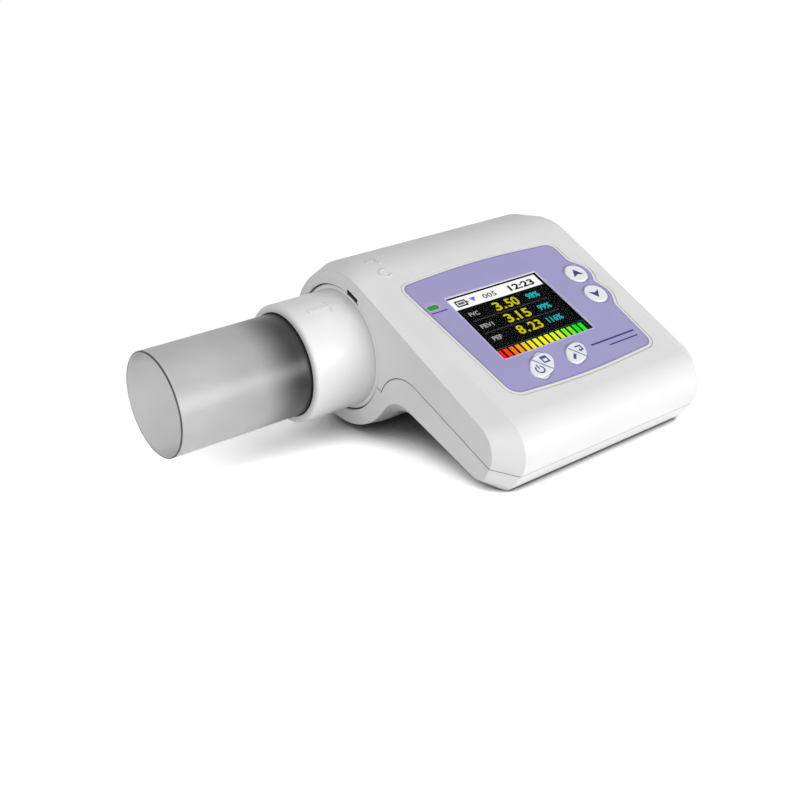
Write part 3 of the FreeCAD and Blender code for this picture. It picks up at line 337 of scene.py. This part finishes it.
def belt(rounds, grow):
    """An outline of arcs joined by their common tangents, drawn out by grow. Each round is its middle
    across and up, its radius, and 1 where it bulges outwards or -1 where it bulges inwards."""
    discs = [(x, y, radius + side * grow, side) for x, y, radius, side in rounds]
    if len(discs) == 1:
        x, y, radius, _ = discs[0]
        steps = 48
        turns = [math.tau * step / steps for step in range(steps)]
        return [(x + radius * math.cos(angle), y + radius * math.sin(angle)) for angle in turns]
    normals = []
    for (x1, y1, r1, s1), (x2, y2, r2, s2) in zip(discs, discs[1:] + discs[:1]):
        lean = math.asin((s2 * r2 - s1 * r1) / math.hypot(x2 - x1, y2 - y1))
        normals.append(math.atan2(y2 - y1, x2 - x1) - lean - math.pi / 2)
    corners = []
    for i, (x, y, radius, side) in enumerate(discs):
        turn = side * ((side * (normals[i] - normals[i - 1])) % math.tau)
        # A step for each 9 degrees, and some more on a large round
        steps = max(2, round(abs(turn) / math.radians(9)) + round(radius / 40))
        for step in range(steps + 1):
            angle = normals[i - 1] + turn * step / steps
            corners.append((x + side * radius * math.cos(angle), y + side * radius * math.sin(angle)))
    return corners


def flat(outlines, low, high):
    """A flat solid between two heights. An outline inside another one is a hole."""
    bm = bmesh.new()
    for corners in outlines:
        verts = [bm.verts.new((x, y, low)) for x, y in corners]
        for one, other in zip(verts, verts[1:] + verts[:1]):
            bm.edges.new((one, other))
    bmesh.ops.triangle_fill(bm, use_beauty=True, use_dissolve=False, edges=bm.edges)
    made = bmesh.ops.extrude_face_region(bm, geom=list(bm.faces))
    raised = [item for item in made["geom"] if isinstance(item, bmesh.types.BMVert)]
    bmesh.ops.translate(bm, vec=(0, 0, high - low), verts=raised)
    return bm


def plate(name, outlines, floor, material, body, slot):
    """A flat piece as thick as a layer of ink, from its floor up"""
    return keep(name, flat(outlines, floor, floor + INK), material, body)


def wrapped(name, outlines, radius, material, body, slot):
    """A raised mark on a cylinder round the airway: drawn flat, with Y as the way round from the top"""
    bm = flat(outlines, -EMBOSS, EMBOSS)
    for vert in bm.verts:
        along, way, rise = vert.co
        reach = radius + rise
        vert.co = (along, reach * math.sin(way / radius), reach * math.cos(way / radius))
    return keep(name, bm, material, body)


def lettering(name, words, left, low, right, high, floor, material, body, slot, weight):
    """Plain words drawn to fill a box, as a thin layer of ink. They are extruded by half a unit each
    way, so that INK scales them to their thickness."""
    curve = bpy.data.curves.new(name, "FONT")
    curve.body = words
    curve.offset = weight
    curve.extrude = 0.5
    curve.resolution_u = 3
    drawn = bpy.data.objects.new(name, curve)
    bpy.context.scene.collection.objects.link(drawn)
    mesh = bpy.data.meshes.new_from_object(drawn.evaluated_get(bpy.context.evaluated_depsgraph_get()))
    bpy.data.objects.remove(drawn)
    bm = bmesh.new()
    bm.from_mesh(mesh)
    bpy.data.meshes.remove(mesh)
    bmesh.ops.remove_doubles(bm, verts=bm.verts, dist=0.0001)
    xs = [vert.co.x for vert in bm.verts]
    ys = [vert.co.y for vert in bm.verts]
    wider = (right - left) / (max(xs) - min(xs))
    taller = (high - low) / (max(ys) - min(ys))
    fit = Matrix.Diagonal((wider, taller, INK, 1))
    bmesh.ops.translate(bm, vec=(-min(xs), -min(ys), 0), verts=bm.verts)
    bmesh.ops.transform(bm, matrix=fit, verts=bm.verts)
    bmesh.ops.translate(bm, vec=(left, low, floor + INK / 2), verts=bm.verts)
    return keep(name, bm, material, body)


def box(left, low, right, high):
    """The four corners of an upright rectangle"""
    return [(left, low), (right, low), (right, high), (left, high)]


def stroke(x1, y1, x2, y2, wide):
    """The four corners of a straight line of that width"""
    half = Vector((x2 - x1, y2 - y1)).normalized() * wide / 2
    return [(x1 + half.y, y1 - half.x), (x2 + half.y, y2 - half.x),
            (x2 - half.y, y2 + half.x), (x1 - half.y, y1 + half.x)]


def arc(x, y, radius, begin, end, wide):
    """The outline of an open ring from one angle to another, in degrees"""
    steps = 24
    turns = [math.radians(begin + (end - begin) * step / steps) for step in range(steps + 1)]
    outer, inner = radius + wide / 2, radius - wide / 2
    return ([(x + outer * math.cos(angle), y + outer * math.sin(angle)) for angle in turns]
            + [(x + inner * math.cos(angle), y + inner * math.sin(angle))
               for angle in reversed(turns)])


# Print on the film

# The film's rounds, anticlockwise: the long sides are bowed, and the necks beside the arrow keys are
# rounded.
FILM_ROUNDS = [
    (41.5, 167.0, 223.75, 1), (65.9, -51.5, 4.25, 1), (72.4, -37.6, 1.25, -1), (67.8, -31.0, 6.15, 1),
    (73.3, -26.2, 0.6, -1), (68.5, -21.3, 6.15, 1), (72.6, -14.7, 1.25, -1), (67.8, -9.4, 3.75, 1),
    (41.0, -264.1, 259.75, 1), (14.2, -9.4, 3.75, 1), (17.6, -50.8, 4.75, 1),
]


def oval(x, y, reach_x, reach_y, end_radius, side_radius):
    """The rounds of a key turned an eighth, with two tighter ends and two flatter sides"""
    return [(x + reach_x, y + reach_y, end_radius, 1), (x + reach_y, y - reach_x, side_radius, 1),
            (x - reach_x, y - reach_y, end_radius, 1), (x - reach_y, y + reach_x, side_radius, 1)]


# The outlines of the keys and of the light beside the display, as rounds
KEYS = {
    "up": [(68.5, -21.3, 3.7, 1)], "down": [(67.8, -31.0, 3.7, 1)],
    "power": oval(29.2, -48.8, 2.3, 2.8, 1.55, 6.5), "menu": oval(42.6, -48.9, 2.1, 2.21, 1.46, 5.69),
}
LIGHT = [(15.85, -17.4, 0.95, 1), (13.75, -17.4, 0.95, 1)]
# The display's opening: left, low, right and high, and the radius of its corners
SCREEN = (20.6, -42.5, 56.1, -15.6)
SCREEN_CORNER = 0.3


def screen_edge(grow):
    """The outline of the display's opening, drawn out by grow"""
    left, low, right, high = SCREEN
    return rounded(box(left - grow, low - grow, right + grow, high + grow), SCREEN_CORNER + grow)


def film_print():
    """The violet print leaves a pale margin and darkens in a line along its edge. It stops at the
    display, the keys and the light, each with its own ring of ink."""
    printed = ("housing", "film_violet")
    margin, line = 0.75, 0.5
    key_ring, key_gap = 0.75, 0.25
    screen_ring, screen_gap = 0.45, 0.05
    light_ring, light_gap = 1.0, 0.15
    holes = [belt(rounds, key_ring) for rounds in KEYS.values()]
    outlines = [belt(FILM_ROUNDS, -margin - line), screen_edge(screen_ring), belt(LIGHT, light_ring)]
    plate("violet_print", outlines + holes, FILM_TOP, violet_ink, *printed)
    plate("violet_print_edge", [belt(FILM_ROUNDS, -margin), belt(FILM_ROUNDS, -margin - line)],
          FILM_TOP, edge_ink, *printed)
    plate("screen_edge_print", [screen_edge(screen_ring), screen_edge(screen_gap)], FILM_TOP,
          pale_violet_ink, *printed)
    plate("light_ring_print", [belt(LIGHT, light_ring), belt(LIGHT, light_gap)], FILM_TOP, rose_ink,
          *printed)
    for key, rounds in KEYS.items():
        plate(f"{key}_key_ring_print", [belt(rounds, key_ring), belt(rounds, key_gap)], FILM_TOP,
              edge_ink, *printed)
    for name, left, low, right, high in (("light_rule", 12.6, -19.75, 18.4, -19.35),
                                         ("long_rule", 49.5, -48.45, 67.3, -47.85),
                                         ("short_rule", 55.2, -50.45, 66.9, -50.0)):
        plate(name, [box(left, low, right, high)], FILM_TOP + INK, navy_ink, *printed)


# Display

# The distance between the display's dots, and the scale at which a band texture repeats once per
# millimetre
DOT_PITCH = 0.22
ONE_BAND = math.tau / 20


def glow(name, code):
    """A lit dot of the display: its colour comes from the light behind it, with a faint grid of darker
    lines between the dots."""
    between, full_from = 0.92, 0.25
    made, tree, shader = finish(name, Base_Color=linear("#050505"), Roughness=0.3,
                                Emission_Strength=1.0, IOR=1.08)
    turned = add(tree, "ShaderNodeVectorRotate", {"Vector": from_airway(tree), "Angle": -tilt},
                 rotation_type="X_AXIS")
    waves = [
        add(tree, "ShaderNodeTexWave", {"Vector": turned.outputs[0], "Scale": ONE_BAND / DOT_PITCH},
            wave_type="BANDS", bands_direction=direction).outputs["Fac"]
        for direction in ("X", "Y")
    ]
    both = add(tree, "ShaderNodeMath", {0: waves[0], 1: waves[1]}, operation="MULTIPLY")
    lit = add(tree, "ShaderNodeValToRGB", {"Fac": both.outputs[0]})
    full = linear(code)
    lit.color_ramp.elements[0].color = [between * c for c in full[:3]] + [1.0]
    lit.color_ramp.elements[1].position = full_from
    lit.color_ramp.elements[1].color = full
    tree.links.new(lit.outputs["Color"], shader.inputs["Emission Color"])
    return made


def display():
    """The picture on the display: a white bar with its marks, three readings, and a row of bars"""
    glass = ("housing", "lcd_dark")
    above = LCD_TOP + INK
    white = glow("lit_white_dots", "#FFFFFF")
    grey = glow("lit_grey_dots", "#A8A8AA")
    dim = glow("lit_dim_dots", "#3A3A3C")
    yellow = glow("lit_yellow_dots", "#CCC400")
    cyan = glow("lit_cyan_dots", "#12B6B6")
    dark = glow("unlit_dots", "#101010")
    shade = glow("half_lit_dots", "#6C6C6C")
    blue = glow("lit_blue_dots", "#5C78F0")
    teal = glow("lit_teal_dots", "#1E4A4A")

    plate("screen_status_bar", [box(20.9, -20.3, 55.8, -15.75)], LCD_TOP, white, *glass)
    plate("screen_battery_mark", [box(23.0, -19.4, 27.0, -16.9), box(23.5, -18.9, 26.5, -17.4)], above,
          dark, *glass)
    plate("screen_battery_cells", [box(23.8, -18.6, 26.2, -17.7)], above, shade, *glass)
    plate("screen_battery_pole", [box(27.1, -18.6, 27.6, -17.7)], above, dark, *glass)
    plate("screen_blue_mark", [[(28.6, -17.1), (29.7, -18.9), (30.9, -17.1)]], above, blue, *glass)
    lettering("screen_number", "005", 33.3, -19.1, 38.4, -17.2, above, shade, *glass, 0.02)
    lettering("screen_clock", "12:23", 43.6, -19.4, 53.5, -16.9, above, dark, *glass, 0.035)

    # Each row: its label and where that ends, the digits before and after the point, the share and
    # where that starts, and the height of the row's middle
    rows = (("FVC", 27.6, ("3", "50"), "98%", 46.4, -23.2),
            ("FEV1", 28.6, ("3", "15"), "99%", 46.4, -28.6),
            ("PEF", 27.5, ("8", "23"), "116%", 45.4, -33.9))
    half_label, half_digit, half_share, point = 0.8, 1.75, 1.15, 0.7
    for label, label_end, digits, share, share_start, middle in rows:
        lettering(f"screen_label_{label}", label, 24.0, middle - half_label, label_end,
                  middle + half_label, LCD_TOP, grey, *glass, 0.02)
        low, high = middle - half_digit, middle + half_digit
        lettering(f"screen_litres_{label}", digits[0], 33.5, low, 36.0, high, LCD_TOP, yellow, *glass,
                  0.02)
        plate(f"screen_point_{label}", [box(36.7, low, 36.7 + point, low + point)], LCD_TOP, yellow,
              *glass)
        lettering(f"screen_parts_{label}", digits[1], 38.2, low, 42.9, high, LCD_TOP, yellow, *glass,
                  0.02)
        lettering(f"screen_share_{label}", share, share_start, middle - half_share, 51.3,
                  middle + half_share, LCD_TOP, cyan, *glass, 0.03)
    half_line = 0.15
    for i, height in enumerate((-25.8, -31.2)):
        plate(f"screen_line_{i + 1}", [box(23.2, height - half_line, 52.4, height + half_line)],
              LCD_TOP, dim, *glass)

    plate("screen_bar_frame", [box(20.85, -42.3, 56.0, -37.9), box(21.1, -42.05, 55.75, -38.15)],
          LCD_TOP, teal, *glass)
    colours = ("#F81010", "#FA3A08", "#FA7208", "#FAA008", "#FAD008", "#FAEC08", "#FAF808", "#FAFA08",
               "#FAFA08", "#E6FA14", "#D6F818", "#7CF40C", "#78EE0C", "#14EC10", "#14F014")
    first, pitch, wide, low, high = 21.4, 2.27, 1.5, -41.75, -38.5
    for i, code in enumerate(colours):
        left = first + pitch * i
        plate(f"screen_bar_{i + 1}", [box(left, low, left + wide, high)], LCD_TOP,
              glow(f"lit_bar_dots_{i + 1}", code), *glass)


# Marks on the keys and on the white parts

def key_marks():
    """The keys' printed symbols: arrows up and down, a document and a power sign parted by a slash,
    and a return arrow and a page parted by a slash"""
    line_width = 0.45
    up, down, power, menu = ((f"{key}_button", "key_white") for key in ("up", "down", "power", "menu"))
    plate("up_key_arrow", [[(68.4, -19.6), (66.4, -22.8), (68.4, -22.0), (70.4, -22.6)]], KEY_TOP,
          navy_ink, *up)
    plate("down_key_arrow", [[(67.4, -32.9), (69.5, -30.0), (67.5, -30.7), (65.5, -29.8)]], KEY_TOP,
          navy_ink, *down)
    plate("power_key_slash", [stroke(27.3, -45.9, 31.2, -51.3, line_width)], KEY_TOP, pale_ink, *power)
    plate("menu_key_slash", [stroke(41.2, -46.6, 44.6, -51.6, line_width)], KEY_TOP, pale_ink, *menu)
    plate("power_key_document", [box(30.2, -48.7, 32.6, -46.1), box(30.7, -48.2, 32.1, -47.1)], KEY_TOP,
          slate_ink, *power)
    plate("power_key_ring", [arc(27.3, -50.1, 1.3, 120, 420, line_width)], KEY_TOP, slate_ink, *power)
    plate("power_key_stroke", [box(27.1, -49.9, 27.5, -48.2)], KEY_TOP, slate_ink, *power)
    returning = [(43.5, -46.8), (45.7, -46.8), (45.7, -48.9), (44.6, -48.9), (44.6, -49.4),
                 (43.8, -48.65), (44.6, -47.9), (44.6, -48.4), (45.2, -48.4), (45.2, -47.3),
                 (43.5, -47.3)]
    plate("menu_key_return", [returning], KEY_TOP, slate_ink, *menu)
    plate("menu_key_page", [[(39.8, -50.6), (41.4, -48.9), (42.0, -49.5), (40.4, -51.2)]], KEY_TOP,
          slate_ink, *menu)


def raised_marks():
    """Marks moulded on the white parts: an arrow to turn the turbine, and two plain shapes on the head
    for its open and its locked place"""
    collar = (COLLAR_RADIUS, collar_abs, "turbine", "turbine_white")
    head = (HEAD_RADIUS, case_abs, "housing", "case_white")
    tail, tip, way = -14.2, -3.5, 0.7
    shaft_width, line_width = 1.3, 0.7
    wrapped("collar_arrow_shaft", [stroke(tail, way, tip - 3.0, way, shaft_width)], *collar)
    wrapped("collar_arrow_head", [[(tip, way), (-7.6, 3.0), (-6.8, way), (-7.6, -1.6)]], *collar)
    wrapped("head_mark_locked", [stroke(9.0, 7.55, 12.4, 7.55, line_width)], *head)
    wrapped("head_mark_locked_end", [stroke(12.4, 7.9, 12.4, 5.0, line_width)], *head)
    wrapped("head_mark_open", [arc(10.8, 0.3, 1.7, 60, 330, line_width)], *head)


# Room, in metres

# Floor and sky: brightness for the light, then for the camera, and the part of the step between them
# that shows through clear pieces
FLOOR = (0.8, 2.5, 0.1)
SKY = (0.3, 1.0, 0.5)
FLOOR_RADIUS = 0.36
FLOOR_DROP = 0.00005
# The floor is painted darker, as a contact shadow, where the object covers it within this reach
CONTACT_REACH = 0.024
# Each lamp's name, place, size and watts, and the place that all of them face
LAMPS = (("front_softbox", (0.25, -0.85, 0.08), 0.6, 6.1),
         ("left_softbox", (-0.75, -0.45, 0.32), 0.5, 2.0),
         ("top_softbox", (0.1, -0.3, 0.8), 0.5, 0.8))
LIT_PLACE = Vector((0, 0, 0.02))


def brighter_for_camera(tree, low, high, part):
    """One value for the room's light, another where the camera sees it straight or mirrored, and part
    of the step between them where it shows through a clear piece"""
    path = add(tree, "ShaderNodeLightPath", {})
    seen = add(tree, "ShaderNodeMath",
               {0: path.outputs["Is Camera Ray"], 1: path.outputs["Is Glossy Ray"]},
               operation="MAXIMUM")
    through = add(tree, "ShaderNodeMath", {0: path.outputs["Is Transmission Ray"], 1: part},
                  operation="MULTIPLY")
    shown = add(tree, "ShaderNodeMath", {0: seen.outputs[0], 1: through.outputs[0]},
                operation="MAXIMUM")
    return add(tree, "ShaderNodeMapRange", {"Value": shown.outputs[0], "To Min": low, "To Max": high})


def room():
    """A pale floor that keeps the shadow and carries a painted contact shadow, a white world, and soft
    lamps
    """
    bm = bmesh.new()
    bmesh.ops.create_circle(bm, cap_ends=True, radius=FLOOR_RADIUS, segments=96)
    bmesh.ops.translate(bm, vec=(0, 0, -FLOOR_DROP), verts=bm.verts)
    paper = bpy.data.materials.new("pale_floor")
    paper.use_nodes = True
    tree = paper.node_tree
    tree.nodes.clear()
    shade = brighter_for_camera(tree, *FLOOR)
    covered, clear, darkest = 0.12, 0.42, 0.06
    # Painted contact shadow: the floor's colour is darkened by how much of the sky the object covers
    open_sky = add(tree, "ShaderNodeAmbientOcclusion", {"Distance": CONTACT_REACH}, samples=16)
    painted_contact_shadow = add(tree, "ShaderNodeMapRange", {"Value": open_sky.outputs["AO"], "From Min": covered,
                                               "From Max": clear, "To Min": darkest, "To Max": 1.0})
    colour = add(tree, "ShaderNodeMath", {0: shade.outputs[0], 1: painted_contact_shadow.outputs[0]},
                 operation="MULTIPLY")
    skin = add(tree, "ShaderNodeBsdfDiffuse", {"Color": colour.outputs[0]})
    add(tree, "ShaderNodeOutputMaterial", {"Surface": skin.outputs[0]})
    keep("floor", bm, paper, None, Matrix.Identity(4))

    world = bpy.data.worlds.new("white_room")
    world.use_nodes = True
    tree = world.node_tree
    tree.nodes.clear()
    strength = brighter_for_camera(tree, *SKY)
    sky = add(tree, "ShaderNodeBackground", {"Color": (1, 1, 1, 1), "Strength": strength.outputs[0]})
    add(tree, "ShaderNodeOutputWorld", {"Surface": sky.outputs[0]})
    bpy.context.scene.world = world

    for name, place, size, watts in LAMPS:
        lamp = bpy.data.lights.new(name, "AREA")
        lamp.shape = "DISK"
        lamp.size = size
        lamp.energy = watts
        stand = bpy.data.objects.new(name, lamp)
        bpy.context.scene.collection.objects.link(stand)
        stand.matrix_world = Matrix.Translation(place) @ (
            (LIT_PLACE - Vector(place)).to_track_quat("-Z", "Y").to_matrix().to_4x4())
    bpy.context.scene.view_settings.view_transform = "Standard"


camera()
film_print()
display()
key_marks()
raised_marks()
room()
